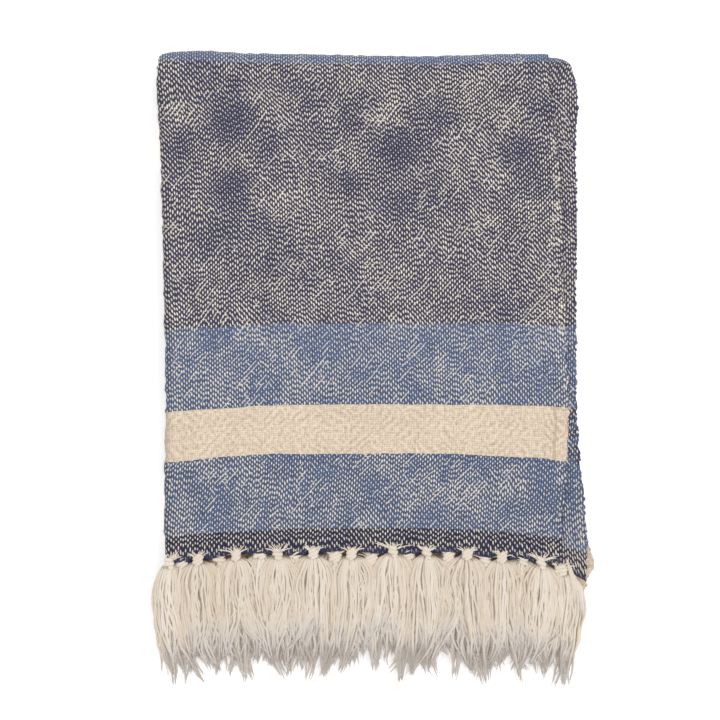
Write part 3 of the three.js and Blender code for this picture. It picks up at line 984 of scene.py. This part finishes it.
def makeWeave():
    material, shader = startMaterial("stripedWeave")
    scale = weaveSet["noise"]
    pen = Wire(material.node_tree)
    uv = pen.add("ShaderNodeUVMap", {"uv_map": "weave"})
    u, v = uv.part(0) / mm, uv.part(1) / mm
    # the first mark holds the patches of short and long floats and the painted shade on the top fold's rim
    patchesAndRimShade, plain, carried, foldShade = (pen.mark(name) for name in ("patchesAndRimShade", "plain", "carried", "foldShade"))
    low = v.soft(*weaveSet["hemEdge"])

    # columns of warp, each with its floats half a repeat from its neighbour's, bent here and there
    bend = (uv.noise(scale["bend"], 1.0, 1.0, 0.8) - 0.5) * 1.8
    drift = uv.noise(scale["drift"], 1.0) - 0.5
    across = u / weaveSet["warpPitch"] + drift * 0.4
    column = across.floor()
    inColumn = across - column - 0.5
    border = (uv.noise(scale["border"], 1.0) - 0.5) * 3.0 + drift * 1.2
    inBlue, inCream = stripeMasks(v + border + inColumn.size() * 0.8)

    # the second selvedge carries blue and navy weft past the cream stripes
    inBlue = inBlue + inCream * carried * uv.noise(scale["carried"], 1.0).soft(0.4, 0.6)
    inCream = inCream * (1 - carried)
    wiggle = column.pair(column * 0.73, v / 14.0).noise(1.0, 0.0) - 0.5
    repeats = v / weaveSet["floatRepeat"] + bend
    climb = repeats + column * 0.5 + wiggle * 0.65 + column.chance(3.0) * 0.12
    pick = climb.floor()
    inPick = climb - pick - 0.5
    luck = column.chance(pick)

    # lean and size of a float, by its side of the cloth, stripe and patch
    secondSide = u.above(weaveSet["secondSide"])
    lean = uv.noise(scale["lean"], 1.0, 1.0, 0.8).soft(0.36, 0.64, -0.65, 0.1)
    lean = lean * (1 - 2 * secondSide) * (1 - inBlue * 0.4)
    crowd = uv.noise(scale["crowd"], 2.0).soft(0.28, 0.68) * (0.5 + inBlue * 0.65) + 0.4 - inBlue * 0.33
    crowd = crowd * (1 - patchesAndRimShade * 0.9) * (1 - low * 0.5) * (1 - inBlue * 0.25)
    bare = u.soft(*weaveSet["bareU"]) * uv.noise(scale["bare"], 1.0).soft(0.5, 0.66)
    bare = bare * v.soft(*weaveSet["bareV"])
    corner = v.soft(*weaveSet["cornerV"]) * u.above(weaveSet["cornerU"])
    reach = (weaveSet["floatLength"] + crowd * 0.11 + luck * 0.12) * (1 - patchesAndRimShade * 0.2)
    reach = reach + bare * 0.14 + corner * 0.12
    breadth = (weaveSet["floatWidth"] + crowd * 0.11) * (1 - patchesAndRimShade * 0.2) + bare * 0.16 + corner * 0.05
    spot = ((inColumn + lean * inPick) / breadth) ** 2.0 + (inPick / reach) ** 2.0
    dash = spot.soft(1.6, 0.3) * (0.72 + luck * 0.28) * (1 - patchesAndRimShade * 0.15)
    dash = dash * (1 - inBlue * 0.1) * (1 - secondSide * 0.08) * (1 - low * 0.07)

    # thin diagonals where neighbouring floats join, close together in places
    cluster = uv.noise(scale["cluster"], 1.0) - 0.5

    def diagonals(slant, limit, offset, length):
        steps = repeats + wiggle * 0.15 + (across - 0.5) * slant + offset
        line = (steps + 0.5).floor()
        run = line.pair(line * 5.3 + offset * 31.0, u / length).noise(1.0, 0.0) + cluster * 0.5 - patchesAndRimShade * 0.2
        return (steps - line).size().soft(0.17, 0.06) * run.soft(limit, limit + 0.05)

    rising = diagonals(-0.5, 0.75, 0.5, 5.0)
    falling = diagonals(0.5, 0.67, 0.5, 9.0)
    joined = rising.math("MAXIMUM", rising, falling)
    floats = dash.math("MAXIMUM", dash, joined * 0.7 * (1 - low) * (1 - patchesAndRimShade))
    floats = floats * (1 - plain)

    # ribs of packed weft between the warp ends, with painted shade in the valleys between them; a little
    # darker by the hem and in the patches, and painted shade on the rim of the top fold
    shaded = (1 - low * 0.33) * (1 + plain * 0.4) * (1 - patchesAndRimShade * 0.08)
    shaded = shaded * (1 - v.soft(*weaveSet["hemShade"]) * 0.12)
    rib = inColumn.size().soft(0.5, 0.12)
    streak = uv.noise(scale["streak"], 1.0, 1.0, 0.3) - 0.5
    navy = low.mix(weaveSet["navy"], weaveSet["hemNavy"])
    weft = inBlue.mix(navy, weaveSet["blue"])
    weft = weft.scaled((rib * 0.4 + 0.48 + streak * 0.6 + wiggle * 0.3) * shaded)
    # painted shadow: a dark ring round each float on the navy and blue weft
    gap = spot.soft(6.0, 1.4) * (1 - plain) * (0.45 - inBlue * 0.25)
    weft = gap.mix(weft, weaveSet["floatShadowTone"])
    tint = uv.noise(scale["tint"], 1.0) * 0.2 + 0.9
    warp = tint.mix(weaveSet["creamWeft"], weaveSet["creamWarp"]).scaled(tint)
    colour = floats.mix(weft, warp)

    # fine plain grid of the cream stripe; the tan in its gaps and creases is painted shade
    pitchU, pitchV = weaveSet["gridPitch"]
    fineU, fineV = u / pitchU + drift * 1.2, v / pitchV + bend * 0.8
    cellU, cellV = fineU.floor(), fineV.floor()
    gridU = (fineU - cellU - 0.5).size()
    gridV = (fineV - cellV - 0.5).size()
    thread = cellU.chance(7.0) + cellV.chance(9.0) + cellU.chance(cellV) - 1.5
    grid = 1 - gridU.soft(0.1, 0.42) * gridV.soft(0.1, 0.42)
    broken = uv.noise(scale["crease"], 1.0).soft(0.3, 0.55)
    crease = 0.0
    for place, depth in weaveSet["creases"]:
        crease = crease + (u - place + drift * 4.0).size().soft(1.4, 0.2) * broken * depth
    grain = uv.noise(scale["grain"], 2.0) - 0.5

    # soft ridges that run up to one side or the other by turns
    def ridges(slope):
        steps = (v + u * slope) / weaveSet["ridgePitch"] + drift * 1.2 + bend * 0.3
        return (steps - steps.floor() - 0.5).size() * 2.0

    turned = uv.noise(scale["turned"], 1.0).soft(0.46, 0.54)
    relief = ridges(1.0) * turned + ridges(-1.0) * (1 - turned) - 0.5
    relief = relief * uv.noise(scale["ridge"], 1.0).soft(0.3, 0.6, 0.3, 1.0)
    # the mix towards tan paints shade in the grid's gaps and creases, and light and shade on the ridges;
    # thread and grain vary the tone at random
    pale = (0.46 + grid * 0.3 + thread * 0.07 + grain * 1.1 + relief * 0.34) * (1 - crease)
    creamCloth = pale.mix(weaveSet["creamTanAndShade"], weaveSet["creamWeft"])
    colour = inCream.mix(colour, creamCloth.scaled(0.895 + crowd * 0.08))

    # painted shade: darker along the rounded left fold
    colour = colour.scaled(1 - foldShade * weaveSet["foldShadeDepth"])
    height = floats * 0.8 + rib * 0.3
    height = height * (1 - inCream) + inCream * (grid * 0.5 + relief - crease * 1.2)
    dress(shader, colour, height, weaveSet)
    return material


# Fringe yarn: undyed cotton, loosely plied
yarnSet = {
    "pale": linear(232, 225, 215),
    "deep": linear(206, 189, 167),
    # painted shade: the greyer colour of the yarns towards their tips
    "tipShade": linear(200, 192, 185),
    # painted light: a faint emission of the yarns, paler towards the tips
    "tipPaintedGlow": (1.1, 1.0, 0.9, 1),
    "tipFrom": (0.5, 0.9),
    "twistPitch": 4.0,
    "fuzzScale": 160.0,
    "paintedGlow": 0.085,
    "roughness": 0.95,
    "specular": 0.15,
    "sheen": 0.2,
    "bump": 0.4,
    "bumpDepth": 0.3,
}


def makeYarn():
    material, shader = startMaterial("undyedYarn")
    pen = Wire(material.node_tree)
    uv = pen.add("ShaderNodeUVMap", {"uv_map": "weave"})
    around, along = uv.part(0), uv.part(1) / mm
    twist = (around + along / yarnSet["twistPitch"]) * 2.0
    ply = (twist - twist.floor() - 0.5).size() * 2.0
    fuzz = uv.noise(yarnSet["fuzzScale"], 2.0, 1.0, 1.0)
    tone = pen.mark("shade") * 0.6 + ply * 0.25 + (fuzz - 0.5) * 0.35 + 0.1
    # painted shade: the yarns turn greyer towards their tips
    tipShade = pen.mark("tipShade").soft(*yarnSet["tipFrom"])
    colour = tipShade.mix(tone.mix(yarnSet["deep"], yarnSet["pale"]), yarnSet["tipShade"])
    dress(shader, colour, 1 - ply * ply, yarnSet)
    # painted light: a faint emission lifts the yarn's shade, warm at the root and paler at the tips
    paintedGlow = tipShade.mix(yarnSet["deep"], yarnSet["tipPaintedGlow"])
    material.node_tree.links.new(paintedGlow.socket, shader.inputs["Emission Color"])
    shader.inputs["Emission Strength"].default_value = yarnSet["paintedGlow"]
    return material


weave = makeWeave()
yarn = makeYarn()
for piece in (cloth, loops):
    piece.data.materials.append(weave)
for piece in frontFringe + backFringe:
    piece.data.materials.append(yarn)
print("finishes made")


# Floor and soft light
stageSet = {
    "floorSize": 8,
    "floorTone": 0.96,
    "floorRoughness": 0.9,
    "floorGlow": 0.3,
    "skyStrength": 0.83,
    "keyStrength": 1.0,
    "keyFrom": (0.3, 0.12, 1.0),
    "keySpread": 40,
}

bpy.ops.mesh.primitive_plane_add(size=stageSet["floorSize"], location=(0, 0, 0))
floor = bpy.context.object
floor.name = "floor"
floorMaterial, floorShader = startMaterial("paleFloor")
floorShader.inputs["Base Color"].default_value = (stageSet["floorTone"],) * 3 + (1,)
floorShader.inputs["Roughness"].default_value = stageSet["floorRoughness"]
floorShader.inputs["Emission Color"].default_value = (1, 1, 1, 1)
floorShader.inputs["Emission Strength"].default_value = stageSet["floorGlow"]
floor.data.materials.append(floorMaterial)

world = bpy.data.worlds.new("softSky")
world.use_nodes = True
background = world.node_tree.nodes["Background"]
background.inputs["Color"].default_value = (1, 1, 1, 1)
background.inputs["Strength"].default_value = stageSet["skyStrength"]
bpy.context.scene.world = world
bpy.context.scene.view_settings.view_transform = "Standard"

fromX, fromY, fromZ = stageSet["keyFrom"]
keyTilt = math.atan2(math.hypot(fromX, fromY), fromZ)
bpy.ops.object.light_add(type="SUN", rotation=(keyTilt, 0, math.atan2(fromX, -fromY)))
key = bpy.context.object
key.name = "keyLight"
key.data.energy = stageSet["keyStrength"]
key.data.angle = math.radians(stageSet["keySpread"])
print("stage set")


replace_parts(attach(cloth, "root"), "throw_cloth")
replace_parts(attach(loops, "root"), "throw_cloth")
for pieces, node in ((frontFringe, "front_fringe"), (backFringe, "back_fringe")):
    for piece in pieces:
        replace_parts(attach(piece, "root"), node)
